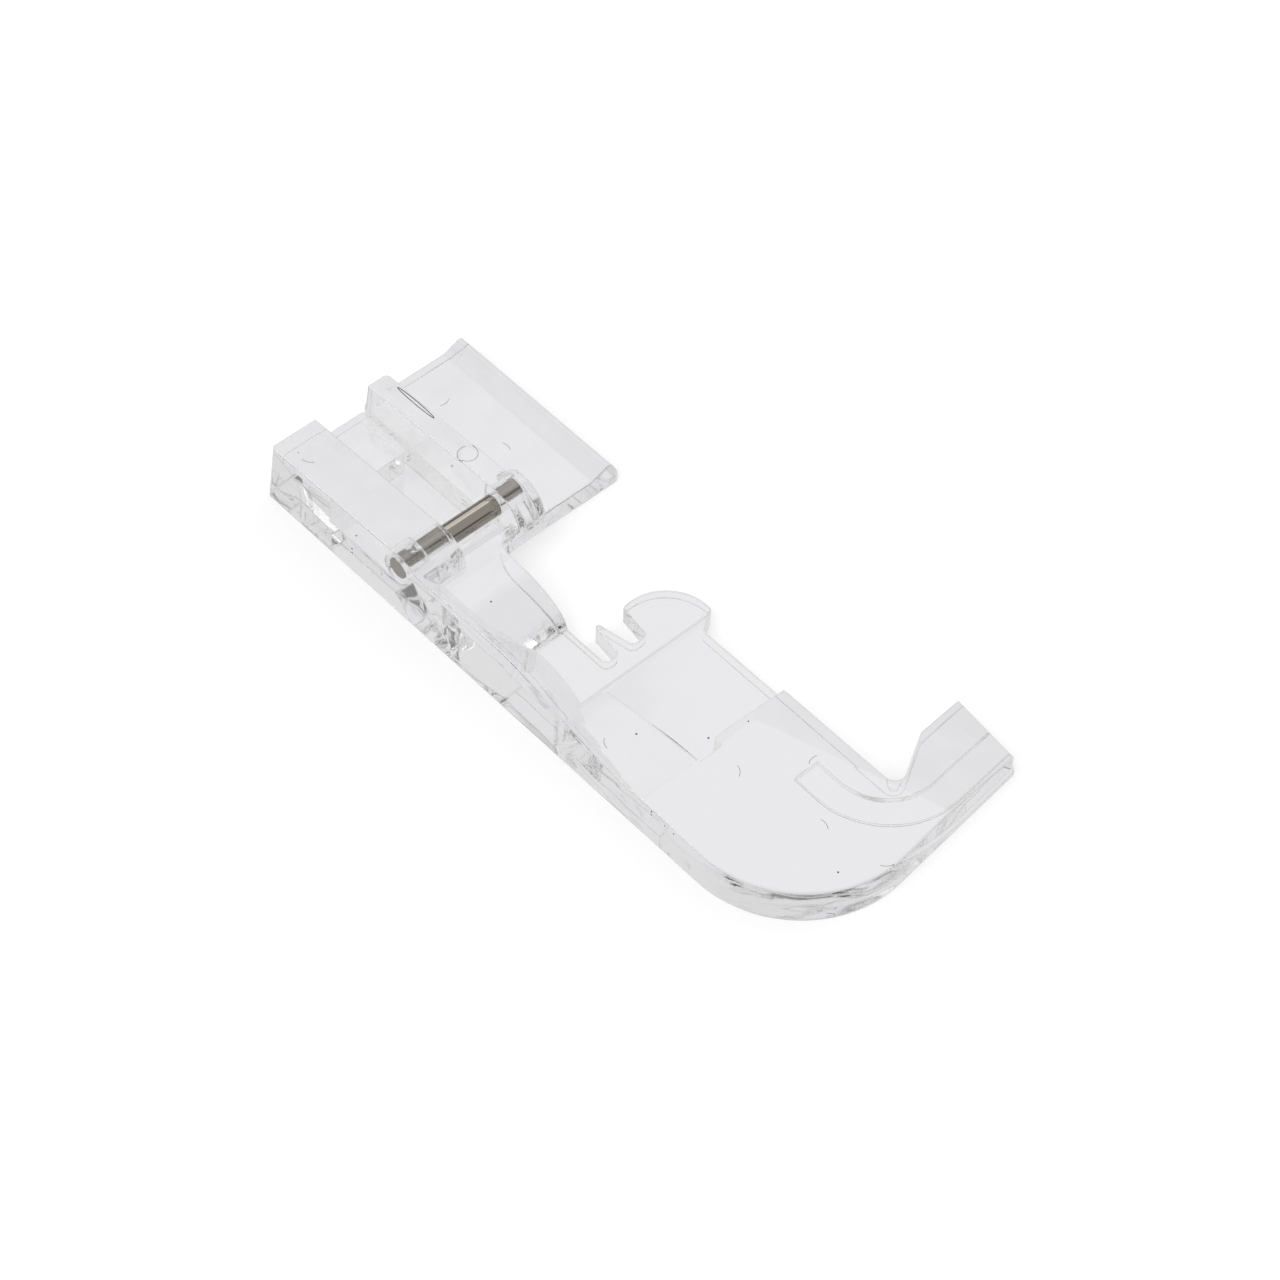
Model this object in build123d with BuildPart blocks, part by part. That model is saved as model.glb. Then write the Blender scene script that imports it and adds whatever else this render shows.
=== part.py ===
from build123d import *
import os
from math import atan, cos, radians, sin, tan

# Lengths along the foot, from the tail of the wing to the toe
wing_tail = 0.9
heel_length = 17.9
arm_length = 10.15
plate_length = 6.2
step_run = 0.85
ramp_length = 10.5
toe_length = 15.2
hook_length = 6.8

# Widths across the foot, from its left side
left_rail = 4.6
channel_width = 5.6
right_rail = 2.0
inner_corner_land = 0.7
boss_reach = 0.75
wing_width = 10.85
arm_width = 8.0
toe_width = 15.75
hook_reach = 10.3

# Heights above the sole
rail_height = 7.3
rail_rear_height = 6.6
rim_height = 6.8
rim_mid_height = 5.9
rim_angle = 47.0
arm_height = 4.8
shoulder_length = 6.65
plate_height = 1.8
step_height = 2.5
pocket_height = 2.4
toe_height = 4.0
toe_front_height = 3.4
hook_height = 2.6
channel_floor = 0.85
channel_ledge = 3.2

# Ankle pin and its seat
pin_diameter = 1.9
pin_length = 12.3
pin_inset = 0.15
pin_depth = 2.0
pin_from_rear = 16.6
pin_clearance = 0.02
pin_end_gap = 0.1
mouth_gap = 0.35
mouth_depth = 2.2
ankle_gap = 1.25

# Heel details
heel_lean = 1.0
ledge_length = 6.2
ledge_gap = 0.3
ledge_round = 0.7
nose_radius = 2.55
nose_setback = 0.6
wall_lap = 0.4
boss_length = 1.0
pad_length = 4.5
pad_round = 0.9

# Wing and its lip
wing_height = 2.0
lip_height = 2.85
lip_width = 3.2
lip_crest = 1.3
lip_edge = 0.35
lip_round = 0.6
lip_edge_round = 0.2
wing_front_round = 0.8
wing_rear_round = 0.3

# Needle notches and stitch finger
notch_depth = 3.35
notch_round = 0.55
first_notch = 1.4
finger_base = 1.5
finger_tip = 0.4
finger_shift = 0.45
tip_round = 0.18
second_notch = 1.5
tip_lean = 0.5
tip_from_shoulder = 1.25
lobe_reach = 2.3
lobe_length = 4.75
lobe_radius = 4.25
lobe_neck = 1.6

# Pocket in the ramp
pocket_left = 5.85
pocket_wide_length = 9.7
pocket_slot_width = 2.45
pocket_slot_extra = 0.95

# Toe and hook
toe_skew = 6.2
toe_radius = 10.4
hook_lead = 4.0
hook_lean = 0.95
hook_neck = 5.4
hook_cut_depth = 3.15
inner_round = 1.0
hook_round = 1.0
corner_round = 0.4

# Cord groove under the toe
groove_width = 2.5
groove_depth = 0.6
groove_from_wall = 1.9
groove_from_front = 1.0
groove_bend = 4.9
groove_lead = 2.5

# Room that a cut leaves beyond the surface it opens
clear = 2.0

# Places across the foot
skew = tan(radians(toe_skew))
foot_width = toe_width + hook_reach + hook_length * skew
left = -foot_width / 2
channel_left = left + left_rail
channel_right = channel_left + channel_width
heel_right = channel_right + right_rail
wing_right = heel_right + wing_width
arm_right = left + arm_width
toe_right = left + toe_width
inner_corner_round = heel_right - arm_right - inner_corner_land
hook_right = toe_right + hook_reach

# Places along the foot
front_rise = skew * (hook_right - left - toe_radius)
toe_bulge = front_rise - toe_radius / cos(radians(toe_skew)) + toe_radius
foot_length = (
    wing_tail + heel_length + arm_length + plate_length + step_run + ramp_length + toe_length + toe_bulge
)
rear = foot_length / 2
heel_rear = rear - wing_tail
heel_front = heel_rear - heel_length
plate_rear = heel_front - arm_length
step_rear = plate_rear - plate_length
ramp_rear = step_rear - step_run
ramp_front = ramp_rear - ramp_length
hook_front = ramp_front - toe_length
front = -rear
pin_y = heel_rear - pin_from_rear
nose_y = pin_y - nose_setback
nose_z = rail_height - nose_radius
pin_z = rail_height - pin_depth

# Corners of the plan outline
notch_bottom = plate_rear - tip_from_shoulder - notch_depth
finger_left = arm_right + first_notch
finger_right = finger_left + finger_base
tip_y = plate_rear - tip_from_shoulder
lobe_left = finger_right + second_notch
lobe_tip = (lobe_left + tip_lean, tip_y)
lobe_corner = (toe_right + lobe_reach, tip_y - lobe_length)
hook_rear = hook_front + hook_length
hook_corner = (hook_right + hook_length * skew, hook_rear)
hook_inner = (toe_right + hook_neck, hook_rear - (hook_corner[0] - toe_right - hook_neck) * skew)
front_left = (left, hook_front - (hook_right - left) * skew)

with BuildPart() as clear_foot:
    # Heel, arm, needle plate, toe and hook in plan
    with BuildSketch():
        with BuildLine():
            outline = FilletPolyline(
                lobe_corner,
                (toe_right, lobe_corner[1] - lobe_neck),
                (toe_right, hook_inner[1] - hook_cut_depth),
                hook_inner,
                hook_corner,
                (hook_right, hook_front),
                front_left,
                (left, heel_rear),
                (heel_right, heel_rear),
                (heel_right, heel_front),
                (arm_right, heel_front),
                (arm_right, notch_bottom),
                (finger_left, notch_bottom),
                (finger_left + finger_shift, tip_y),
                (finger_left + finger_shift + finger_tip, tip_y),
                (finger_right, notch_bottom),
                (lobe_left, notch_bottom),
                lobe_tip,
                radius=[
                    corner_round,
                    inner_round,
                    corner_round,
                    0,
                    0,
                    toe_radius,
                    0,
                    0,
                    0,
                    inner_corner_round,
                    notch_round,
                    notch_round,
                    tip_round,
                    tip_round,
                    notch_round,
                    notch_round,
                ],
            )
            RadiusArc(outline @ 1, outline @ 0, lobe_radius)
        make_face()
    extrude(amount=rail_height)

    # Room above the left rim, which falls to the right at one angle
    rim_slope = tan(2 * atan((rim_height - rim_mid_height) / plate_length))
    rim_fall = sin(radians(rim_angle))
    rim_run = cos(radians(rim_angle))
    room_top = rail_height + foot_width * rim_fall / rim_run + clear
    with BuildSketch(Plane.YZ.offset(left), mode=Mode.PRIVATE) as above_rim:
        with BuildLine():
            Polyline((nose_y, room_top), (nose_y, rim_height), (plate_rear, rim_height))
            crown = TangentArc((plate_rear, rim_height), (step_rear, rim_mid_height), tangent=(-1, 0))
            fall = Line(crown @ 1, (ramp_rear, rim_mid_height - rim_slope * step_run))
            TangentArc(fall @ 1, (ramp_front, toe_height), tangent=fall % 1)
            Polyline(
                (ramp_front, toe_height),
                (front - clear, toe_front_height),
                (front - clear, room_top),
                (nose_y, room_top),
            )
        make_face()
    rim_room = extrude(
        above_rim.sketch, amount=foot_width / rim_run, dir=(rim_run, 0, -rim_fall), mode=Mode.PRIVATE
    )

    # Room above the arm, the shoulder, the needle plate, the ramp and the toe
    with BuildSketch(Plane.YZ.offset(left), mode=Mode.PRIVATE) as above_floor:
        with BuildLine():
            Polyline(
                (nose_y, rail_height + clear),
                (nose_y, arm_height),
                (plate_rear + shoulder_length, arm_height),
            )
            EllipticalCenterArc(
                (plate_rear + shoulder_length, plate_height),
                shoulder_length,
                arm_height - plate_height,
                start_angle=90,
                arc_size=90,
            )
            Polyline(
                (plate_rear, plate_height),
                (step_rear, plate_height),
                (ramp_rear, step_height),
                (ramp_front, toe_height),
                (front - clear, toe_front_height),
                (front - clear, rail_height + clear),
                (nose_y, rail_height + clear),
            )
        make_face()
    floor_room = extrude(above_floor.sketch, amount=foot_width, mode=Mode.PRIVATE)
    add(floor_room & rim_room, mode=Mode.SUBTRACT)

    # End wall of the hook leans in towards its top
    end_plane = Plane((hook_right, hook_front, 0), x_dir=(1, -skew, 0), z_dir=(-skew, -1, 0))
    with BuildSketch(end_plane):
        with BuildLine():
            Polyline(
                (0, 0),
                (-hook_lean, hook_height),
                (-hook_lean, rail_height),
                (clear, rail_height),
                (clear, 0),
                close=True,
            )
        make_face()
    extrude(amount=2 * hook_length, both=True, mode=Mode.SUBTRACT)
    fillet(edges().sort_by_distance((*hook_corner, hook_height / 2))[0], corner_round)
    fillet(edges().sort_by_distance((hook_right, hook_front, hook_height / 2))[0], hook_round)

    # Flat pocket in the ramp, open to the right, with a longer slot at its left
    pocket_edge = left + pocket_left
    pocket_front = ramp_rear - pocket_wide_length
    with BuildSketch(Plane.XY.offset(pocket_height)):
        with BuildLine():
            Polyline(
                (pocket_edge, step_rear),
                (pocket_edge, pocket_front - pocket_slot_extra),
                (pocket_edge + pocket_slot_width, pocket_front - pocket_slot_extra),
                (pocket_edge + pocket_slot_width, pocket_front),
                (toe_right + clear, pocket_front),
                (toe_right + clear, step_rear),
                close=True,
            )
        make_face()
    extrude(amount=rail_height, mode=Mode.SUBTRACT)

    # Top of the toe falls towards the end of the hook
    with BuildSketch(Plane.XZ.offset(-pocket_front)):
        with BuildLine():
            Polyline(
                (toe_right - hook_lead, toe_height),
                (hook_corner[0], hook_height),
                (hook_corner[0], rail_height),
                (toe_right - hook_lead, rail_height),
                close=True,
            )
        make_face()
    extrude(amount=pocket_front - front, mode=Mode.SUBTRACT)

    # Round nose of the left rail, and the low wall in front of the pin
    with BuildSketch(Plane.YZ.offset(left)):
        with Locations((nose_y, nose_z)):
            Circle(nose_radius)
    extrude(amount=left_rail)
    with BuildSketch(Plane.YZ.offset(arm_right - wall_lap)):
        with Locations((nose_y, nose_z)):
            Circle(nose_radius)
        with Locations((nose_y, arm_height)):
            Rectangle(2 * nose_radius, nose_radius, align=(Align.CENTER, Align.MIN), mode=Mode.SUBTRACT)
    extrude(amount=channel_right - arm_right + wall_lap)

    # Channel between the rails, with a round seat about the pin
    seat_radius = pin_diameter / 2 + ankle_gap
    with BuildSketch(Plane.YZ.offset(channel_left)):
        with BuildLine():
            Polyline(
                (pin_y - seat_radius, pin_z),
                (pin_y - seat_radius, rail_height + clear),
                (heel_rear + clear, rail_height + clear),
                (heel_rear + clear, channel_floor),
                (pin_y + seat_radius, channel_floor),
                (pin_y, pin_z - seat_radius),
            )
            RadiusArc((pin_y, pin_z - seat_radius), (pin_y - seat_radius, pin_z), seat_radius)
        make_face()
    extrude(amount=channel_width, mode=Mode.SUBTRACT)

    # Ledge at the rear of the channel, clear of the right rail
    ledge_front = heel_rear - ledge_length
    with BuildSketch():
        with BuildLine():
            FilletPolyline(
                (channel_left, heel_rear),
                (channel_left, ledge_front),
                (channel_right - ledge_gap, ledge_front),
                (channel_right - ledge_gap, heel_rear),
                radius=[0, ledge_round],
            )
            Line((channel_right - ledge_gap, heel_rear), (channel_left, heel_rear))
        make_face()
    extrude(amount=channel_ledge)

    # Rail tops fall to the rear, and the rear faces lean forward
    with BuildSketch(Plane.YZ.offset(left - clear)):
        with BuildLine():
            Polyline(
                (heel_rear, 0),
                (heel_rear - heel_lean, rail_rear_height),
                (nose_y, rail_height),
                (nose_y, rail_height + clear),
                (heel_rear + clear, rail_height + clear),
                (heel_rear + clear, 0),
                close=True,
            )
        make_face()
    extrude(amount=heel_right - left + 2 * clear, mode=Mode.SUBTRACT)
    for side in (left, heel_right):
        rear_edge = edges().sort_by_distance((side, heel_rear - heel_lean / 2, rail_rear_height / 2))[0]
        fillet(rear_edge, corner_round)

    # Boss round the blind end of the pin, with a round nose, and the pad behind it
    with BuildSketch(Plane.YZ.offset(channel_right)):
        with Locations((nose_y, nose_z)):
            Circle(nose_radius)
        with Locations((nose_y, 0)):
            Rectangle(boss_length, rail_height, align=(Align.MIN, Align.MIN))
    extrude(amount=right_rail + boss_reach)
    with BuildSketch() as pad:
        with Locations((channel_right, nose_y)):
            Rectangle(right_rail, boss_length + pad_length, align=(Align.MIN, Align.MIN))
        fillet(pad.vertices().group_by(Axis.Y)[-1], pad_round)
    extrude(amount=rail_height)

    # Wing with a rolled lip along its right edge
    wing_left = heel_right - right_rail / 2
    with BuildSketch(Plane.XZ.offset(-rear), mode=Mode.PRIVATE) as wing_section:
        with BuildLine():
            FilletPolyline(
                (wing_left, 0),
                (wing_right, 0),
                (wing_right, lip_edge),
                (wing_right - lip_crest, lip_height),
                (wing_right - lip_width, wing_height),
                (wing_left, wing_height),
                radius=[0, lip_edge_round, lip_round, lip_round],
            )
            Line((wing_left, wing_height), (wing_left, 0))
        make_face()
    with BuildSketch(mode=Mode.PRIVATE) as wing_plan:
        with BuildLine():
            FilletPolyline(
                (wing_left, heel_front),
                (wing_right, heel_front),
                (wing_right, rear),
                (wing_left, rear),
                radius=[wing_front_round, wing_rear_round],
            )
            Line((wing_left, rear), (wing_left, heel_front))
        make_face()
    wing_slab = extrude(wing_plan.sketch, amount=lip_height, mode=Mode.PRIVATE)
    add(extrude(wing_section.sketch, amount=rear - heel_front, mode=Mode.PRIVATE) & wing_slab)

    # Hole through the left rail, wider at its mouth, and into the boss
    with BuildSketch(Plane.YZ.offset(left - clear)):
        with Locations((pin_y, pin_z)):
            Circle(pin_diameter / 2 + pin_clearance)
    extrude(amount=clear + pin_inset + pin_length + pin_end_gap, mode=Mode.SUBTRACT)
    with BuildSketch(Plane.YZ.offset(left - clear)):
        with Locations((pin_y, pin_z)):
            Circle(pin_diameter / 2 + mouth_gap)
    extrude(amount=clear + mouth_depth, mode=Mode.SUBTRACT)

    # Groove in the sole, from below the toe round to the end of the hook
    groove_right = toe_right - groove_from_wall
    groove_left = groove_right - groove_width
    bend_x = groove_right + groove_bend
    bend_reach = groove_bend + groove_width + groove_from_front
    bend_y = hook_front - (hook_right - bend_x) * skew + bend_reach / cos(radians(toe_skew))
    groove_rear = bend_y + groove_lead
    groove_exit = Vector(1, skew) * foot_width
    with BuildSketch():
        with BuildLine():
            inner = CenterArc((bend_x, bend_y), groove_bend, start_angle=180, arc_size=90 + toe_skew)
            outer = CenterArc(
                (bend_x, bend_y), groove_bend + groove_width, start_angle=180, arc_size=90 + toe_skew
            )
            Polyline(inner @ 1, inner @ 1 + groove_exit, outer @ 1 + groove_exit, outer @ 1)
            Polyline(inner @ 0, (groove_right, groove_rear), (groove_left, groove_rear), outer @ 0)
        make_face()
    extrude(amount=groove_depth, mode=Mode.SUBTRACT)
clear_foot.part.label = "clear_foot"

with BuildPart() as ankle_pin:
    with BuildSketch(Plane.YZ.offset(left + pin_inset)):
        with Locations((pin_y, pin_z)):
            Circle(pin_diameter / 2)
    extrude(amount=pin_length)
ankle_pin.part.label = "ankle_pin"

os.makedirs("parts", exist_ok=True)
export_step(clear_foot.part, "parts/clear_foot.step")
export_step(ankle_pin.part, "parts/ankle_pin.step")
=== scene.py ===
from math import cos, pi, radians, sin

import bmesh
import bpy
from mathutils import Matrix, Vector


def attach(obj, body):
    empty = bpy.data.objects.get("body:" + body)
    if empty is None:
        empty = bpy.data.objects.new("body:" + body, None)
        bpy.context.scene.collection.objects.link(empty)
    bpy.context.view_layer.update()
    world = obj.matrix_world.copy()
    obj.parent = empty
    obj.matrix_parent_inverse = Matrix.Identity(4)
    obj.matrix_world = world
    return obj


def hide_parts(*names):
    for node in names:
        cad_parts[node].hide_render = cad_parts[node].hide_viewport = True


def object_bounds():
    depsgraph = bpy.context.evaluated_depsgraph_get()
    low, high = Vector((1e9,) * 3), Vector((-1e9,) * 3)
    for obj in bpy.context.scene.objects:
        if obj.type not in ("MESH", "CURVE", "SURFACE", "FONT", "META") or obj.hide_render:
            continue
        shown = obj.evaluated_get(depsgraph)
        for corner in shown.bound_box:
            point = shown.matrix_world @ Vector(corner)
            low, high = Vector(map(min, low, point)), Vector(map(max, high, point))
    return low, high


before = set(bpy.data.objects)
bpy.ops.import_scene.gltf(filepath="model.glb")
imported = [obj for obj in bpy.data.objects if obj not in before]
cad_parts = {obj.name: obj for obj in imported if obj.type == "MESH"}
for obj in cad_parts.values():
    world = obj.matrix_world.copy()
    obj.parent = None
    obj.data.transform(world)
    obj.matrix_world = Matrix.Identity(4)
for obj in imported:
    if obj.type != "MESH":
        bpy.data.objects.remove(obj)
CAD_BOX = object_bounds()

bl_info = {
    "name": "Clear Presser Foot",
    "version": (1, 0, 0),
    "blender": (4, 5, 0),
    "location": "View3D > Sidebar > Presser Foot",
    "description": "Dresses the clear overlock presser foot and sets its stage",
    "category": "Object",
}

MM = 0.001
BODY = "root"
LOW, HIGH = (Vector(corner) for corner in CAD_BOX)
UP = Vector((0.0, 0.0, 1.0))
DOWN = Vector((0.0, 0.0, -1.0))
WHITE = "#FFFFFF"

# Finer curves
MERGE_DISTANCE = 0.001 * MM  # between corners of loose triangles that are one point
FLAT_ANGLE = radians(0.2)  # between facets of one flat face
CURVE_TOLERANCE = 0.002 * MM  # rise of a curve above a facet that isn't split
MOST_CORNERS = 6  # of a split facet: a triangle with three new points or four sides with two
PARALLEL = 0.98  # cosine between two faces that are too alike to meet in a clear line
LARGE_FACES_LEAD = 100  # strongest pull of a corner's normal towards its larger faces

# Patterns of the finishes
EDGE_SAMPLES = 8  # rays that look for an edge to round
RIPPLE_SPACING = 5 * MM
RIPPLE_HEIGHT = 0.2 * MM
RIPPLE_STRENGTH = 0.5
RING_SPACING = 0.12 * MM
RING_LENGTH = 8 * MM
RING_HEIGHT = 0.01 * MM
RING_STRENGTH = 0.3
# Dark tones of the burnt grains, also used for the painted shade outline on the right rail
CHAR_AND_SHADE_SPACING = 2 * MM
CHAR_AND_SHADE_TONES = [(0.3, "#1C1A19"), (0.7, "#4A4542")]
CHAR_AND_SHADE_ROUGHNESS = 0.7

# Marks in the plastic
TOP_FACE = 0.95  # least upward part of the normal where grains and hairlines lie
GRAIN_SUBDIVISIONS = 2
SMALLEST_GRAIN = 0.4  # share of the largest grain's size
HAIRLINE_SWEEP = 1.0  # radian, so that a hairline is as long as its radius
HAIRLINE_POINTS = 8
WITNESS_POINTS = 32
TUBE_SIDES = 6

# Stage
PAPER = "#F6F6F6"
# Pale horizon, dark band and pale ceiling, by the sine of their height angle
STUDIO_BANDS = [(0.02, "#ECECEE"), (0.1, "#707070"), (0.26, "#707070"), (0.42, "#E2E2E2")]
CAMERA_NEAR = 10 * MM
MOST_BOUNCES = 24
MOST_CLEAR_BOUNCES = 20


def linear(hex_code):
    """Turns an sRGB hex colour into linear red, green, blue and alpha."""
    channels = [int(hex_code[i : i + 2], 16) / 255 for i in (1, 3, 5)]
    return tuple(c / 12.92 if c <= 0.04045 else ((c + 0.055) / 1.055) ** 2.4 for c in channels) + (1.0,)


def add_node(tree, kind, settings=None, values=None, links=None):
    """Adds one node, sets its options and socket values, and links other nodes' outputs to it."""
    node = tree.nodes.new(kind)
    for name, value in (settings or {}).items():
        setattr(node, name, value)
    for socket, value in (values or {}).items():
        node.inputs[socket].default_value = value
    for socket, output in (links or {}).items():
        tree.links.new(output, node.inputs[socket])
    return node


def colour_stops(ramp_node, stops):
    """Sets a colour ramp's stops from pairs of place and hex colour."""
    elements = ramp_node.color_ramp.elements
    while len(elements) < len(stops):
        elements.new(1.0)
    for element, (position, hex_code) in zip(elements, stops):
        element.position = position
        element.color = linear(hex_code)


def new_material(name):
    """Gives an empty material and its node tree."""
    material = bpy.data.materials.new(name)
    material.use_nodes = True
    material.node_tree.nodes.clear()
    return material, material.node_tree


def foot_point(from_left, from_rear, height):
    """Point placed from the foot's left side, its rear end and the floor."""
    return Vector((LOW.x + from_left, HIGH.y - from_rear, height))


def group_values(settings, group, *names):
    """Values of the settings whose names start with a group's name."""
    return [getattr(settings, group + "_" + name) for name in names]


def merged_shape(node_name):
    """Copies a CAD node's loose triangles into one closed shape whose flat faces are whole."""
    shape = bmesh.new()
    shape.from_mesh(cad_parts[node_name].data)
    bmesh.ops.remove_doubles(shape, verts=shape.verts, dist=MERGE_DISTANCE)
    bmesh.ops.dissolve_limit(shape, angle_limit=FLAT_ANGLE, verts=shape.verts, edges=shape.edges)
    return shape


def smooth_neighbours(face, vert, facet_angle):
    """Faces round a point that make one smooth surface with the given face, always in the same order."""
    reached = [face]
    # The list grows while it is walked through
    for each in reached:
        for edge in each.edges:
            if vert in edge.verts and edge.calc_face_angle(0.0) < facet_angle:
                reached.extend(found for found in edge.link_faces if found not in reached)
    return reached


def corner_normals(shape, facet_angle):
    """Normal of the smooth surface at each corner of each face, where a large flat face leads."""
    normals = {}
    for vert in shape.verts:
        for face in vert.link_faces:
            total = Vector()
            for each in smooth_neighbours(face, vert, facet_angle):
                total += each.normal * each.calc_area()
            normals[vert, face] = total.normalized()
    return normals


def curve_offset(edge, normals, facet_angle):
    """Step from the middle of a facet's edge to the curved faces that the facets stand for."""
    first, second = edge.verts
    span = second.co - first.co
    smooth = edge.calc_face_angle(0.0) < facet_angle
    rises = []
    for face in edge.link_faces[:1] if smooth else edge.link_faces:
        start, end = normals[first, face], normals[second, face]
        middle = (start + end).normalized()
        # A gentle curve rises above its chord by an eighth of the chord times its turn
        rises.append((middle, (end * span.dot(end) - start * span.dot(start)).dot(middle) / 8))
    if smooth:
        return rises[0][0] * rises[0][1]
    (one, rise), (other, other_rise) = rises
    lean = one.dot(other)
    if abs(lean) > PARALLEL:
        return Vector()
    return (one * (rise - lean * other_rise) + other * (other_rise - lean * rise)) / (1 - lean * lean)


def refine_curves(shape, facet_angle):
    """Splits the facets of curved faces and lifts the new points on to the curve, inside the CAD box."""
    shape.normal_update()
    normals = corner_normals(shape, facet_angle)
    offsets = {edge: curve_offset(edge, normals, facet_angle) for edge in shape.edges}
    lifted = {}
    for edge, offset in offsets.items():
        if offset.length > CURVE_TOLERANCE:
            lifted[bmesh.utils.edge_split(edge, edge.verts[0], 0.5)[1]] = offset
    for face in list(shape.faces):
        points = [vert for vert in face.verts if vert in lifted]
        if len(points) in (2, 3) and len(face.verts) <= MOST_CORNERS:
            cuts = [points] if len(points) == 2 else zip(points, points[1:] + points[:1])
            for cut in cuts:
                bmesh.ops.connect_verts(shape, verts=list(cut))
    for point, offset in lifted.items():
        moved = point.co + offset
        point.co = [min(max(moved[i], LOW[i]), HIGH[i]) for i in range(3)]


def baked(piece):
    """Turns a piece's modifiers into a plain mesh and removes them."""
    depsgraph = bpy.context.evaluated_depsgraph_get()
    mesh = bpy.data.meshes.new_from_object(
        piece.evaluated_get(depsgraph), preserve_all_data_layers=True, depsgraph=depsgraph
    )
    piece.modifiers.clear()
    piece.data = mesh
    return piece


def finished_copy(node_name, piece_name, look):
    """Makes a smooth copy of a CAD node with finer curves."""
    shape = merged_shape(node_name)
    for _ in range(look.curve_steps):
        refine_curves(shape, look.facet_angle)
    mesh = bpy.data.meshes.new(piece_name)
    shape.to_mesh(mesh)
    shape.free()
    mesh.shade_smooth()
    mesh.set_sharp_from_angle(angle=look.facet_angle)
    piece = bpy.data.objects.new(piece_name, mesh)
    bpy.context.scene.collection.objects.link(piece)
    flats = piece.modifiers.new("Flat faces stay flat", "WEIGHTED_NORMAL")
    flats.weight = LARGE_FACES_LEAD
    flats.keep_sharp = True
    return baked(piece)


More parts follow.
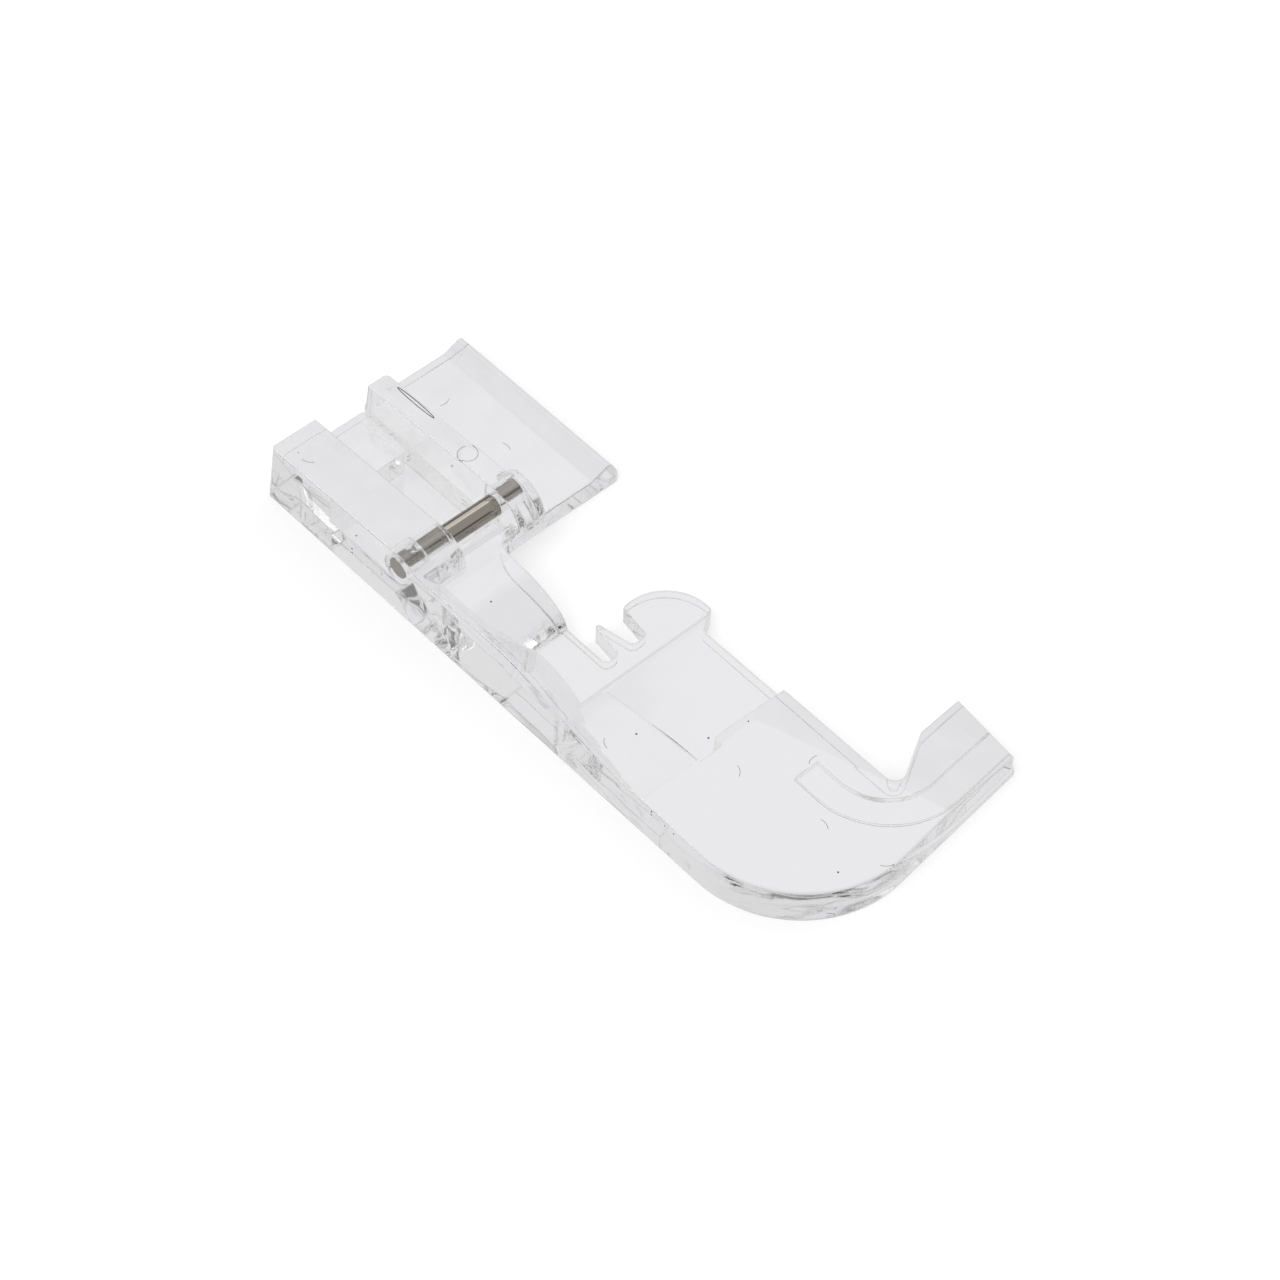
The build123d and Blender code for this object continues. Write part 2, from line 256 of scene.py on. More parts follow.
class FootLook(bpy.types.PropertyGroup):
    """Finishes of the clear moulding and the steel pin, and the marks in the plastic."""

    plastic_colour: bpy.props.FloatVectorProperty(
        name="Plastic Colour",
        description="Tint that light takes on its way through the moulding",
        subtype="COLOR",
        size=4,
        default=linear("#FBFBFB"),
    )
    plastic_depth_colour: bpy.props.FloatVectorProperty(
        name="Plastic Depth Colour",
        description="Colour that light tends to on a long way inside the moulding",
        subtype="COLOR",
        size=4,
        default=linear("#7E7F82"),
    )
    plastic_depth: bpy.props.FloatProperty(
        name="Plastic Depth", description="How fast the moulding takes light, per metre", default=1.8
    )
    plastic_ior: bpy.props.FloatProperty(
        name="Plastic IOR", description="How strongly the moulding bends light", default=1.52
    )
    plastic_roughness: bpy.props.FloatProperty(
        name="Plastic Roughness",
        description="Haze of the moulded surface",
        subtype="FACTOR",
        default=0.02,
    )
    facet_angle: bpy.props.FloatProperty(
        name="Facet Angle",
        description="Facets that meet at less than this belong to one curved face",
        subtype="ANGLE",
        default=radians(12),
    )
    curve_steps: bpy.props.IntProperty(
        name="Curve Steps", description="Times that the facets of a curved face are split", default=2
    )
    plastic_edge: bpy.props.FloatProperty(
        name="Plastic Edge Round",
        description="Radius at the moulding's edges",
        subtype="DISTANCE",
        default=0.3 * MM,
    )
    pin_edge: bpy.props.FloatProperty(
        name="Pin Edge Round",
        description="Radius at the pin's ends",
        subtype="DISTANCE",
        default=0.12 * MM,
    )
    pin_colour: bpy.props.FloatVectorProperty(
        name="Pin Colour",
        description="Reflectance of the steel pin",
        subtype="COLOR",
        size=4,
        default=linear("#9A948C"),
    )
    pin_roughness: bpy.props.FloatProperty(
        name="Pin Roughness", description="Dullness of the ground steel", subtype="FACTOR", default=0.16
    )
    grain_size: bpy.props.FloatProperty(
        name="Grain Size",
        description="Diameter of the largest dark grain in the plastic",
        subtype="DISTANCE",
        default=0.22 * MM,
    )
    grain_density: bpy.props.FloatProperty(
        name="Grain Density", description="Grains per square metre of upper surface", default=9000.0
    )
    # The scar in the next setting is the painted shade outline on the right rail
    mark_depth: bpy.props.FloatProperty(
        name="Mark Depth",
        description="How far grains, hairlines, ring and scar lie below the surface",
        subtype="DISTANCE",
        default=0.25 * MM,
    )
    mark_seed: bpy.props.IntProperty(
        name="Mark Seed", description="Chooses where the grains and hairlines lie", default=38
    )
    hairline_length: bpy.props.FloatProperty(
        name="Hairline Length",
        description="Length of a short curved hairline",
        subtype="DISTANCE",
        default=1.1 * MM,
    )
    hairline_radius: bpy.props.FloatProperty(
        name="Hairline Radius",
        description="Half the thickness of a hairline and of the ejector's ring",
        subtype="DISTANCE",
        default=0.02 * MM,
    )
    hairline_density: bpy.props.FloatProperty(
        name="Hairline Density",
        description="Hairlines per square metre of upper surface",
        default=6000.0,
    )
    ejector_from_left: bpy.props.FloatProperty(
        name="Ejector From Left",
        description="Middle of the ejector's ring, from the foot's left side",
        subtype="DISTANCE",
        default=11.2 * MM,
    )
    ejector_from_rear: bpy.props.FloatProperty(
        name="Ejector From Rear",
        description="Middle of the ejector's ring, from the rear end",
        subtype="DISTANCE",
        default=13.2 * MM,
    )
    ejector_width: bpy.props.FloatProperty(
        name="Ejector Width",
        description="Diameter of the ejector's ring",
        subtype="DISTANCE",
        default=1.7 * MM,
    )
    # Painted shade: the settings below place a thin dark outline where the right rail's top shows a
    # highlight with dark edges, not a mark of the mould's gate
    shade_outline_from_left: bpy.props.FloatProperty(
        name="Shade Outline From Left",
        description="Middle of the gate's scar, from the foot's left side",
        subtype="DISTANCE",
        default=11.9 * MM,
    )
    shade_outline_from_rear: bpy.props.FloatProperty(
        name="Shade Outline From Rear",
        description="Middle of the gate's scar, from the rear end",
        subtype="DISTANCE",
        default=5.9 * MM,
    )
    shade_outline_length: bpy.props.FloatProperty(
        name="Shade Outline Length", description="Length of the gate's scar", subtype="DISTANCE", default=4.6 * MM
    )
    shade_outline_width: bpy.props.FloatProperty(
        name="Shade Outline Width", description="Width of the gate's scar", subtype="DISTANCE", default=0.3 * MM
    )
    gate_line_radius: bpy.props.FloatProperty(
        name="Gate Line Radius",
        description="Half the thickness of the scar's outline",
        subtype="DISTANCE",
        default=0.04 * MM,
    )


class FootStage(bpy.types.PropertyGroup):
    """Camera, floor, lamps and the soft glows that the foot mirrors."""

    azimuth: bpy.props.FloatProperty(
        name="Azimuth",
        description="Camera's turn about the foot",
        subtype="ANGLE",
        default=radians(-43.86),
    )
    elevation: bpy.props.FloatProperty(
        name="Elevation", description="Camera's height angle", subtype="ANGLE", default=radians(51.33)
    )
    roll: bpy.props.FloatProperty(
        name="Roll",
        description="Camera's turn about its own axis",
        subtype="ANGLE",
        default=radians(2.02),
    )
    distance: bpy.props.FloatProperty(
        name="Distance",
        description="Camera to the point it looks at",
        subtype="DISTANCE",
        default=320 * MM,
    )
    lens: bpy.props.FloatProperty(name="Lens", description="Focal length in millimetres", default=112.5)
    from_left: bpy.props.FloatProperty(
        name="Look From Left",
        description="Looked-at point, from the foot's left side",
        subtype="DISTANCE",
        default=12.65 * MM,
    )
    from_rear: bpy.props.FloatProperty(
        name="Look From Rear",
        description="Looked-at point, from the rear end",
        subtype="DISTANCE",
        default=32.5 * MM,
    )
    floor_size: bpy.props.FloatProperty(
        name="Floor Size", description="Side of the white floor", subtype="DISTANCE", default=4.0
    )
    floor_gap: bpy.props.FloatProperty(
        name="Floor Gap",
        description="Air between the sole and the floor",
        subtype="DISTANCE",
        default=0.03 * MM,
    )
    floor_glow: bpy.props.FloatProperty(
        name="Floor Glow",
        description="Share of the floor's white that shadows leave alone",
        subtype="FACTOR",
        default=0.6,
    )
    floor_through: bpy.props.FloatVectorProperty(
        name="Floor Through Plastic",
        description="Colour of the floor where it is seen mirrored or through the plastic",
        subtype="COLOR",
        size=4,
        default=linear("#E5E5E7"),
    )
    key_azimuth: bpy.props.FloatProperty(
        name="Key Azimuth",
        description="Turn of the soft lamp at the front left",
        subtype="ANGLE",
        default=radians(-75),
    )
    key_elevation: bpy.props.FloatProperty(
        name="Key Elevation",
        description="Height angle of the front left lamp",
        subtype="ANGLE",
        default=radians(58),
    )
    key_distance: bpy.props.FloatProperty(
        name="Key Distance",
        description="Front left lamp to the looked-at point",
        subtype="DISTANCE",
        default=0.75,
    )
    key_side: bpy.props.FloatProperty(
        name="Key Side", description="Side of the front left lamp", subtype="DISTANCE", default=0.5
    )
    key_power: bpy.props.FloatProperty(
        name="Key Power", description="Power of the front left lamp", subtype="POWER", default=3.4
    )
    fill_azimuth: bpy.props.FloatProperty(
        name="Fill Azimuth",
        description="Turn of the soft lamp at the right",
        subtype="ANGLE",
        default=radians(80),
    )
    fill_elevation: bpy.props.FloatProperty(
        name="Fill Elevation",
        description="Height angle of the right lamp",
        subtype="ANGLE",
        default=radians(40),
    )
    fill_distance: bpy.props.FloatProperty(
        name="Fill Distance",
        description="Right lamp to the looked-at point",
        subtype="DISTANCE",
        default=0.8,
    )
    fill_side: bpy.props.FloatProperty(
        name="Fill Side", description="Side of the right lamp", subtype="DISTANCE", default=0.35
    )
    fill_power: bpy.props.FloatProperty(
        name="Fill Power", description="Power of the right lamp", subtype="POWER", default=1.2
    )
    sheen_azimuth: bpy.props.FloatProperty(
        name="Sheen Azimuth",
        description="Turn of the glow that the flat tops mirror",
        subtype="ANGLE",
        default=radians(131),
    )
    sheen_elevation: bpy.props.FloatProperty(
        name="Sheen Elevation",
        description="Height angle of the flat tops' glow",
        subtype="ANGLE",
        default=radians(54),
    )
    sheen_reach: bpy.props.FloatProperty(
        name="Sheen Reach",
        description="Angle from that glow's middle to where it fades out",
        subtype="ANGLE",
        default=radians(13),
    )
    sheen_strength: bpy.props.FloatProperty(
        name="Sheen Strength", description="Brightness of the flat tops' glow", default=1.8
    )
    ramp_azimuth: bpy.props.FloatProperty(
        name="Ramp Azimuth",
        description="Turn of the glow that the ramp mirrors",
        subtype="ANGLE",
        default=radians(148),
    )
    ramp_elevation: bpy.props.FloatProperty(
        name="Ramp Elevation",
        description="Height angle of the ramp's glow",
        subtype="ANGLE",
        default=radians(37),
    )
    ramp_reach: bpy.props.FloatProperty(
        name="Ramp Reach",
        description="Angle from that glow's middle to where it fades out",
        subtype="ANGLE",
        default=radians(11),
    )
    ramp_strength: bpy.props.FloatProperty(
        name="Ramp Strength", description="Brightness of the ramp's glow", default=1.5
    )
    glint_azimuth: bpy.props.FloatProperty(
        name="Glint Azimuth",
        description="Turn of the glow that the upper left edges mirror",
        subtype="ANGLE",
        default=radians(-128),
    )
    glint_elevation: bpy.props.FloatProperty(
        name="Glint Elevation",
        description="Height angle of the left edges' glow",
        subtype="ANGLE",
        default=radians(38),
    )
    glint_reach: bpy.props.FloatProperty(
        name="Glint Reach",
        description="Angle from that glow's middle to where it fades out",
        subtype="ANGLE",
        default=radians(26),
    )
    glint_strength: bpy.props.FloatProperty(
        name="Glint Strength", description="Brightness of the left edges' glow", default=5.5
    )


def clear_plastic(look):
    """Clear injection-moulded polycarbonate: glossy and see-through, with faint flow ripples that bend
    what lies behind and a light grey tint where it is thick."""
    material, tree = new_material("clear_moulded_polycarbonate")
    place = add_node(tree, "ShaderNodeTexCoord")
    ripples = add_node(
        tree,
        "ShaderNodeTexNoise",
        values={"Scale": 1 / RIPPLE_SPACING, "Detail": 1.0},
        links={"Vector": place.outputs["Object"]},
    )
    rounded_edges = add_node(
        tree, "ShaderNodeBevel", settings={"samples": EDGE_SAMPLES}, values={"Radius": look.plastic_edge}
    )
    ripple_bump = add_node(
        tree,
        "ShaderNodeBump",
        values={"Strength": RIPPLE_STRENGTH, "Distance": RIPPLE_HEIGHT},
        links={"Height": ripples.outputs["Fac"], "Normal": rounded_edges.outputs["Normal"]},
    )
    shader = add_node(
        tree,
        "ShaderNodeBsdfPrincipled",
        values={
            "Base Color": look.plastic_colour,
            "Roughness": look.plastic_roughness,
            "IOR": look.plastic_ior,
            "Transmission Weight": 1.0,
        },
        links={"Normal": ripple_bump.outputs["Normal"]},
    )
    depth = add_node(
        tree,
        "ShaderNodeVolumeAbsorption",
        values={"Color": look.plastic_depth_colour, "Density": look.plastic_depth},
    )
    add_node(
        tree,
        "ShaderNodeOutputMaterial",
        links={"Surface": shader.outputs["BSDF"], "Volume": depth.outputs["Volume"]},
    )
    return material


def ground_steel(look):
    """Ground steel dowel: dull grey metal with fine rings round it that stretch its highlight."""
    material, tree = new_material("ground_steel")
    place = add_node(tree, "ShaderNodeTexCoord")
    # The grinding rings are drawn coarser than real so that they show
    stretch = add_node(
        tree,
        "ShaderNodeMapping",
        values={"Scale": (1 / RING_SPACING, 1 / RING_LENGTH, 1 / RING_LENGTH)},
        links={"Vector": place.outputs["Object"]},
    )
    rings = add_node(
        tree,
        "ShaderNodeTexNoise",
        values={"Scale": 1.0, "Detail": 2.0},
        links={"Vector": stretch.outputs["Vector"]},
    )
    rounded_ends = add_node(
        tree, "ShaderNodeBevel", settings={"samples": EDGE_SAMPLES}, values={"Radius": look.pin_edge}
    )
    ring_bump = add_node(
        tree,
        "ShaderNodeBump",
        values={"Strength": RING_STRENGTH, "Distance": RING_HEIGHT},
        links={"Height": rings.outputs["Fac"], "Normal": rounded_ends.outputs["Normal"]},
    )
    shader = add_node(
        tree,
        "ShaderNodeBsdfPrincipled",
        values={"Base Color": look.pin_colour, "Metallic": 1.0, "Roughness": look.pin_roughness},
        links={"Normal": ring_bump.outputs["Normal"]},
    )
    add_node(tree, "ShaderNodeOutputMaterial", links={"Surface": shader.outputs["BSDF"]})
    return material


def charred_grain():
    """Burnt grains and fibres in the plastic, and the painted shade outline on the right rail: small, dark
    and dull, and not all of one tone.
    """
    material, tree = new_material("charred_grain")
    place = add_node(tree, "ShaderNodeTexCoord")
    tone = add_node(
        tree,
        "ShaderNodeTexNoise",
        values={"Scale": 1 / CHAR_AND_SHADE_SPACING},
        links={"Vector": place.outputs["Object"]},
    )
    colour = add_node(tree, "ShaderNodeValToRGB", links={"Fac": tone.outputs["Fac"]})
    colour_stops(colour, CHAR_AND_SHADE_TONES)
    shader = add_node(
        tree,
        "ShaderNodeBsdfPrincipled",
        values={"Roughness": CHAR_AND_SHADE_ROUGHNESS},
        links={"Base Color": colour.outputs["Color"]},
    )
    add_node(tree, "ShaderNodeOutputMaterial", links={"Surface": shader.outputs["BSDF"]})
    return material


def scattered(tree, tops, given, density, seed_step):
    """Puts random points just below the upward faces."""
    seed = add_node(
        tree,
        "ShaderNodeMath",
        settings={"operation": "ADD"},
        values={1: seed_step},
        links={0: given["Seed"]},
    )
    points = add_node(
        tree,
        "GeometryNodeDistributePointsOnFaces",
        links={
            "Mesh": given["Geometry"],
            "Selection": tops,
            "Density": given[density],
            "Seed": seed.outputs["Value"],
        },
    )
    drop = add_node(
        tree,
        "ShaderNodeVectorMath",
        settings={"operation": "SCALE"},
        values={0: DOWN},
        links={"Scale": given["Depth"]},
    )
    lowered = add_node(
        tree,
        "GeometryNodeSetPosition",
        links={"Geometry": points.outputs["Points"], "Offset": drop.outputs["Vector"]},
    )
    return lowered.outputs["Geometry"]


def grain_instances(tree, tops, given):
    """Small round grains of different sizes."""
    grain = add_node(
        tree,
        "GeometryNodeMeshIcoSphere",
        values={"Subdivisions": GRAIN_SUBDIVISIONS},
        links={"Radius": given["Grain Radius"]},
    )
    # Inputs 2 and 3 are the random number's limits, and output 1 is that number
    size = add_node(
        tree,
        "FunctionNodeRandomValue",
        values={2: SMALLEST_GRAIN, 3: 1.0},
        links={"Seed": given["Seed"]},
    )
    grains = add_node(
        tree,
        "GeometryNodeInstanceOnPoints",
        links={
            "Points": scattered(tree, tops, given, "Grain Density", 0),
            "Instance": grain.outputs["Mesh"],
            "Scale": size.outputs[1],
        },
    )
    return grains.outputs["Instances"]


def thin_tube(tree, curve, radius):
    """Gives a curve a thin round body."""
    section = add_node(
        tree,
        "GeometryNodeCurvePrimitiveCircle",
        values={"Resolution": TUBE_SIDES},
        links={"Radius": radius},
    )
    tube = add_node(
        tree,
        "GeometryNodeCurveToMesh",
        values={"Fill Caps": True},
        links={"Curve": curve, "Profile Curve": section.outputs["Curve"]},
    )
    return tube.outputs["Mesh"]


def hairline_instances(tree, tops, given):
    """Short curved hairlines, turned at random."""
    arc = add_node(
        tree,
        "GeometryNodeCurveArc",
        values={"Resolution": HAIRLINE_POINTS, "Sweep Angle": HAIRLINE_SWEEP},
        links={"Radius": given["Hairline Length"]},
    )
    tube = thin_tube(tree, arc.outputs["Curve"], given["Hairline Radius"])
    # Inputs 0 and 1 are the random turn's limits, and output 0 is that turn
    turn = add_node(
        tree,
        "FunctionNodeRandomValue",
        settings={"data_type": "FLOAT_VECTOR"},
        values={0: (0.0, 0.0, 0.0), 1: (0.0, 0.0, 2 * pi)},
        links={"Seed": given["Seed"]},
    )
    hairlines = add_node(
        tree,
        "GeometryNodeInstanceOnPoints",
        links={
            "Points": scattered(tree, tops, given, "Hairline Density", 1),
            "Instance": tube,
            "Rotation": turn.outputs[0],
        },
    )
    return hairlines.outputs["Instances"]


def witness_and_shade_line(tree, given, name):
    """Closed line on a rail (ejector's ring, painted shade outline): a circle stretched to its length and
    width.
    """
    circle = add_node(
        tree, "GeometryNodeCurvePrimitiveCircle", values={"Resolution": WITNESS_POINTS, "Radius": 1.0}
    )
    stretched = add_node(
        tree,
        "GeometryNodeTransform",
        links={
            "Geometry": circle.outputs["Curve"],
            "Translation": given[name + " Place"],
            "Scale": given[name + " Half Size"],
        },
    )
    return thin_tube(tree, stretched.outputs["Geometry"], given[name + " Line Radius"])


def marks_tree(inputs):
    """Geometry nodes that scatter dark grains and hairlines in the plastic, just below its upward faces,
    and draw the ejector's ring and a painted shade outline round a highlight on the right rail."""
    tree = bpy.data.node_groups.new("moulding_marks", "GeometryNodeTree")
    tree.interface.new_socket("Geometry", in_out="INPUT", socket_type="NodeSocketGeometry")
    for name, (kind, _) in inputs.items():
        tree.interface.new_socket(name, in_out="INPUT", socket_type=kind)
    tree.interface.new_socket("Geometry", in_out="OUTPUT", socket_type="NodeSocketGeometry")
    given = add_node(tree, "NodeGroupInput").outputs
    facing = add_node(tree, "GeometryNodeInputNormal")
    height = add_node(tree, "ShaderNodeSeparateXYZ", links={"Vector": facing.outputs["Normal"]})
    tops = add_node(
        tree,
        "FunctionNodeCompare",
        settings={"operation": "GREATER_THAN"},
        values={1: TOP_FACE},
        links={0: height.outputs["Z"]},
    )
    marks = add_node(tree, "GeometryNodeJoinGeometry")
    for instances in (grain_instances, hairline_instances):
        tree.links.new(instances(tree, tops.outputs["Result"], given), marks.inputs["Geometry"])
    # The ejector's ring is a mould's mark; the second closed line is painted shade round a highlight on
    # the right rail
    for name in ("Ejector", "Gate"):
        tree.links.new(witness_and_shade_line(tree, given, name), marks.inputs["Geometry"])
    solid = add_node(tree, "GeometryNodeRealizeInstances", links={"Geometry": marks.outputs["Geometry"]})
    dressed = add_node(
        tree,
        "GeometryNodeSetMaterial",
        links={"Geometry": solid.outputs["Geometry"], "Material": given["Material"]},
    )
    add_node(tree, "NodeGroupOutput", links={"Geometry": dressed.outputs["Geometry"]})
    return tree


def below_top(moulding, from_left, from_rear, depth):
    """Point at a given depth below the top of the moulding, placed from its left side and rear end."""
    above = foot_point(from_left, from_rear, HIGH.z + MM)
    top = moulding.ray_cast(above, DOWN)[1]
    return top + depth * DOWN


def direction(azimuth, elevation):
    """Unit vector from the foot towards a place seen at an azimuth and an elevation."""
    return Vector((sin(azimuth) * cos(elevation), -cos(azimuth) * cos(elevation), sin(elevation)))


def aimed(back, roll=0.0):
    """Rotation of a lamp or camera that looks against the given direction."""
    right = UP.cross(back).normalized()
    up = back.cross(right)
    turned_right = cos(roll) * right + sin(roll) * up
    turned_up = cos(roll) * up - sin(roll) * right
    return Matrix((turned_right, turned_up, back)).transposed().to_4x4()


def soft_lamp(name, target, azimuth, elevation, distance, side, power):
    """Adds a square soft lamp that faces the foot and isn't itself mirrored in or seen through it."""
    lamp = bpy.data.lights.new(name, "AREA")
    lamp.size = side
    lamp.energy = power
    holder = bpy.data.objects.new(name, lamp)
    back = direction(azimuth, elevation)
    holder.matrix_world = Matrix.Translation(target + distance * back) @ aimed(back)
    holder.visible_glossy = False
    holder.visible_transmission = False
    bpy.context.scene.collection.objects.link(holder)


def photo_camera(scene, stage, target):
    """Adds the camera at the photograph's viewing angle."""
    camera = bpy.data.cameras.new("photo_camera")
    camera.lens = stage.lens
    camera.clip_start = CAMERA_NEAR
    holder = bpy.data.objects.new("photo_camera", camera)
    back = direction(stage.azimuth, stage.elevation)
    holder.matrix_world = Matrix.Translation(target + stage.distance * back) @ aimed(back, stage.roll)
    scene.collection.objects.link(holder)
    scene.camera = holder


def glow_share(tree, path, direct_share):
    """Gives the floor's share of glow: part of it seen directly, all of it mirrored or through plastic."""
    mirrored = add_node(
        tree,
        "ShaderNodeMath",
        settings={"operation": "MAXIMUM"},
        links={0: path.outputs["Is Glossy Ray"], 1: path.outputs["Is Transmission Ray"]},
    )
    share = add_node(
        tree,
        "ShaderNodeMath",
        settings={"operation": "MULTIPLY_ADD"},
        values={1: direct_share},
        links={0: path.outputs["Is Camera Ray"], 2: mirrored.outputs["Value"]},
    )
    return share.outputs["Value"]


def white_floor(stage):
    """White paper floor that stays white in the picture and keeps the foot's soft shadow."""
    mesh = bpy.data.meshes.new("white_floor")
    half = stage.floor_size / 2
    corners = [(-half, -half), (half, -half), (half, half), (-half, half)]
    mesh.from_pydata([(x, y, -stage.floor_gap) for x, y in corners], [], [(0, 1, 2, 3)])
    floor = bpy.data.objects.new("white_floor", mesh)
    bpy.context.scene.collection.objects.link(floor)
    material, tree = new_material("matt_white_paper")
    paper = add_node(tree, "ShaderNodeBsdfDiffuse", values={"Color": linear(PAPER)})
    path = add_node(tree, "ShaderNodeLightPath")
    # Inputs 6 and 7 are the two colours, and output 2 is the mixed one
    tone = add_node(
        tree,
        "ShaderNodeMix",
        settings={"data_type": "RGBA"},
        values={6: stage.floor_through, 7: linear(WHITE)},
        links={0: path.outputs["Is Camera Ray"]},
    )
    glow = add_node(tree, "ShaderNodeEmission", links={"Color": tone.outputs[2]})
    mix = add_node(
        tree,
        "ShaderNodeMixShader",
        links={
            0: glow_share(tree, path, stage.floor_glow),
            1: paper.outputs["BSDF"],
            2: glow.outputs["Emission"],
        },
    )
    add_node(tree, "ShaderNodeOutputMaterial", links={"Surface": mix.outputs["Shader"]})
    mesh.materials.append(material)


def soft_glow(tree, place, path, azimuth, elevation, reach, strength):
    """Adds a round glow with a soft border to the surroundings, seen only in mirrored rays."""
    nearness = add_node(
        tree,
        "ShaderNodeVectorMath",
        settings={"operation": "DOT_PRODUCT"},
        values={1: direction(azimuth, elevation)},
        links={0: place.outputs["Generated"]},
    )
    falloff = add_node(
        tree,
        "ShaderNodeMapRange",
        settings={"interpolation_type": "SMOOTHSTEP"},
        values={"From Min": cos(reach), "From Max": 1.0, "To Max": strength},
        links={"Value": nearness.outputs["Value"]},
    )
    mirrored = add_node(
        tree,
        "ShaderNodeMath",
        settings={"operation": "SUBTRACT", "use_clamp": True},
        links={0: path.outputs["Is Glossy Ray"], 1: path.outputs["Is Transmission Ray"]},
    )
    seen = add_node(
        tree,
        "ShaderNodeMath",
        settings={"operation": "MULTIPLY"},
        links={0: falloff.outputs["Result"], 1: mirrored.outputs["Value"]},
    )
    glow = add_node(tree, "ShaderNodeBackground", links={"Strength": seen.outputs["Value"]})
    return glow.outputs["Background"]


def pale_surroundings(scene, stage):
    """White seen directly. Else a pale horizon, a dark band that draws the foot's edges, a pale ceiling
    and three glows: on the flat tops, on the ramp and along the upper left edges."""
    world = bpy.data.worlds.new("pale_studio")
    world.use_nodes = True
    tree = world.node_tree
    tree.nodes.clear()
    place = add_node(tree, "ShaderNodeTexCoord")
    split = add_node(tree, "ShaderNodeSeparateXYZ", links={"Vector": place.outputs["Generated"]})
    bands = add_node(tree, "ShaderNodeValToRGB", links={"Fac": split.outputs["Z"]})
    colour_stops(bands, STUDIO_BANDS)
    studio = add_node(tree, "ShaderNodeBackground", links={"Color": bands.outputs["Color"]})
    white = add_node(tree, "ShaderNodeBackground", values={"Color": linear(WHITE)})
    path = add_node(tree, "ShaderNodeLightPath")
    lit = studio.outputs["Background"]
    for name in ("sheen", "ramp", "glint"):
        setting = group_values(stage, name, "azimuth", "elevation", "reach", "strength")
        glow = soft_glow(tree, place, path, *setting)
        lit = add_node(tree, "ShaderNodeAddShader", links={0: lit, 1: glow}).outputs["Shader"]
    mix = add_node(
        tree,
        "ShaderNodeMixShader",
        links={0: path.outputs["Is Camera Ray"], 1: lit, 2: white.outputs["Background"]},
    )
    add_node(tree, "ShaderNodeOutputWorld", links={"Surface": mix.outputs["Shader"]})
    scene.world = world


def true_light(scene):
    """Shows colours as they are written, and follows light that turns often inside the clear moulding."""
    scene.view_settings.view_transform = "Standard"
    scene.cycles.max_bounces = MOST_BOUNCES
    scene.cycles.glossy_bounces = MOST_CLEAR_BOUNCES
    scene.cycles.transmission_bounces = MOST_CLEAR_BOUNCES


class PRESSERFOOT_OT_clear_moulding(bpy.types.Operator):
    """Makes the clear foot from its CAD solid"""

    bl_idname = "presserfoot.clear_moulding"
    bl_label = "Clear Moulding"

    def execute(self, context):
        look = context.scene.foot_look
        piece = finished_copy("clear_foot", "clear_moulding", look)
        piece.data.materials.append(clear_plastic(look))
        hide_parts("clear_foot")
        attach(piece, BODY)
        return {"FINISHED"}


class PRESSERFOOT_OT_moulding_marks(bpy.types.Operator):
    """Adds the dark grains, hairlines, ejector's ring and painted shade outline on the right rail that
    show in the clear foot
    """

    bl_idname = "presserfoot.moulding_marks"
    bl_label = "Moulding Marks"

    def execute(self, context):
        look = context.scene.foot_look
        moulding = bpy.data.objects["clear_moulding"]
        ejector = below_top(moulding, look.ejector_from_left, look.ejector_from_rear, look.mark_depth)
        ejector_half = look.ejector_width / 2
        # Painted shade: middle of a thin dark outline round a dark-edged highlight on the right rail's top
        shade_outline_middle = below_top(moulding, look.shade_outline_from_left, look.shade_outline_from_rear, look.mark_depth)
        inputs = {
            "Grain Radius": ("NodeSocketFloat", look.grain_size / 2),
            "Grain Density": ("NodeSocketFloat", look.grain_density),
            "Hairline Length": ("NodeSocketFloat", look.hairline_length),
            "Hairline Radius": ("NodeSocketFloat", look.hairline_radius),
            "Hairline Density": ("NodeSocketFloat", look.hairline_density),
            "Ejector Place": ("NodeSocketVector", ejector),
            "Ejector Half Size": ("NodeSocketVector", (ejector_half, ejector_half, 1.0)),
            "Ejector Line Radius": ("NodeSocketFloat", look.hairline_radius),
            "Gate Place": ("NodeSocketVector", shade_outline_middle),
            "Gate Half Size": ("NodeSocketVector", (look.shade_outline_width / 2, look.shade_outline_length / 2, 1.0)),
            "Gate Line Radius": ("NodeSocketFloat", look.gate_line_radius),
            "Depth": ("NodeSocketFloat", look.mark_depth),
            "Seed": ("NodeSocketInt", look.mark_seed),
            "Material": ("NodeSocketMaterial", charred_grain()),
        }
        piece = bpy.data.objects.new("moulding_marks", moulding.data.copy())
        context.scene.collection.objects.link(piece)
        marks = piece.modifiers.new("Moulding marks", "NODES")
        marks.node_group = marks_tree(inputs)
        for socket in marks.node_group.interface.items_tree:
            if socket.name in inputs:
                marks[socket.identifier] = inputs[socket.name][1]
        baked(piece)
        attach(piece, BODY)
        return {"FINISHED"}


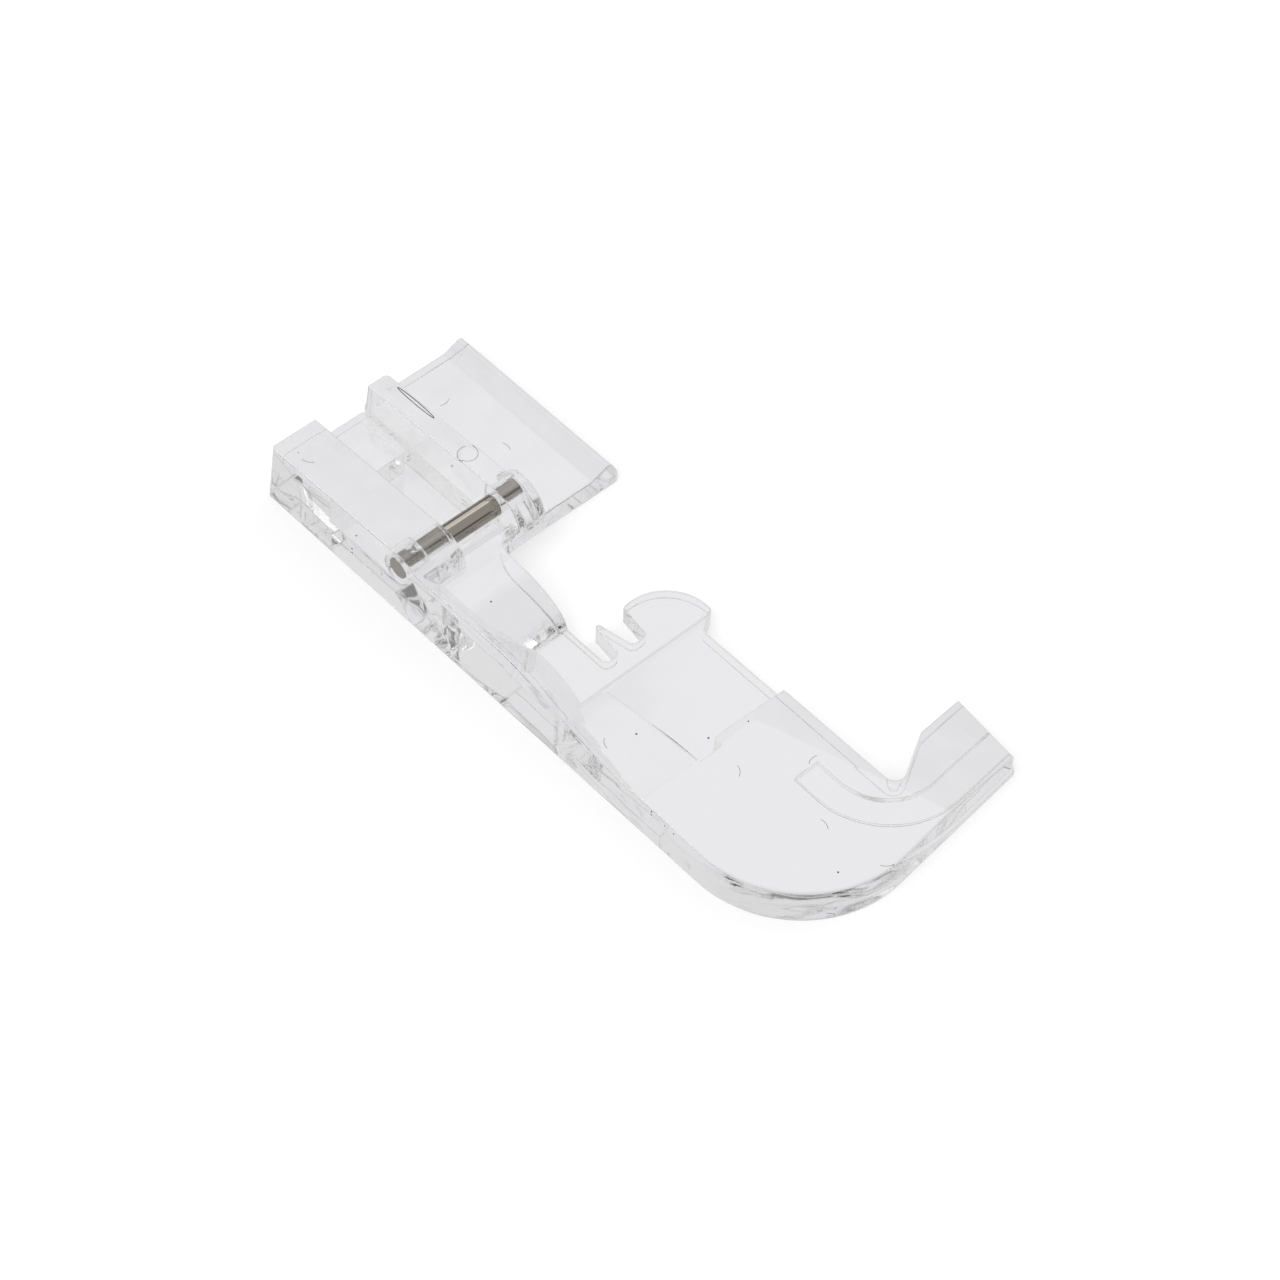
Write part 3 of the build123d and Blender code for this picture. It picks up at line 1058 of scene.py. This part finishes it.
class PRESSERFOOT_OT_ankle_pin(bpy.types.Operator):
    """Makes the steel cross pin from its CAD solid"""

    bl_idname = "presserfoot.ankle_pin"
    bl_label = "Ankle Pin"

    def execute(self, context):
        look = context.scene.foot_look
        piece = finished_copy("ankle_pin", "steel_pin", look)
        piece.data.materials.append(ground_steel(look))
        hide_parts("ankle_pin")
        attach(piece, BODY)
        return {"FINISHED"}


class PRESSERFOOT_OT_stage(bpy.types.Operator):
    """Sets the white floor, the pale surroundings, the soft lamps and the camera"""

    bl_idname = "presserfoot.stage"
    bl_label = "Stage"

    def execute(self, context):
        stage = context.scene.foot_stage
        white_floor(stage)
        pale_surroundings(context.scene, stage)
        true_light(context.scene)
        target = foot_point(stage.from_left, stage.from_rear, 0.0)
        for name in ("key", "fill"):
            setting = group_values(stage, name, "azimuth", "elevation", "distance", "side", "power")
            soft_lamp(name + "_lamp", target, *setting)
        photo_camera(context.scene, stage, target)
        return {"FINISHED"}


class PRESSERFOOT_PT_sidebar(bpy.types.Panel):
    """Lists the foot's pieces, finishes and stage"""

    bl_idname = "PRESSERFOOT_PT_sidebar"
    bl_label = "Presser Foot"
    bl_space_type = "VIEW_3D"
    bl_region_type = "UI"
    bl_category = "Presser Foot"

    def draw(self, context):
        for operator in OPERATORS:
            self.layout.operator(operator.bl_idname)
        for settings in (context.scene.foot_look, context.scene.foot_stage):
            column = self.layout.column()
            for name in settings.__annotations__:
                column.prop(settings, name)


OPERATORS = (
    PRESSERFOOT_OT_clear_moulding,
    PRESSERFOOT_OT_moulding_marks,
    PRESSERFOOT_OT_ankle_pin,
    PRESSERFOOT_OT_stage,
)
CLASSES = (FootLook, FootStage, *OPERATORS, PRESSERFOOT_PT_sidebar)


def register():
    for each in CLASSES:
        bpy.utils.register_class(each)
    bpy.types.Scene.foot_look = bpy.props.PointerProperty(type=FootLook)
    bpy.types.Scene.foot_stage = bpy.props.PointerProperty(type=FootStage)


def unregister():
    del bpy.types.Scene.foot_stage
    del bpy.types.Scene.foot_look
    for each in reversed(CLASSES):
        bpy.utils.unregister_class(each)


def main():
    register()
    bpy.ops.presserfoot.clear_moulding()
    bpy.ops.presserfoot.moulding_marks()
    bpy.ops.presserfoot.ankle_pin()
    bpy.ops.presserfoot.stage()


if __name__ == "__main__":
    main()
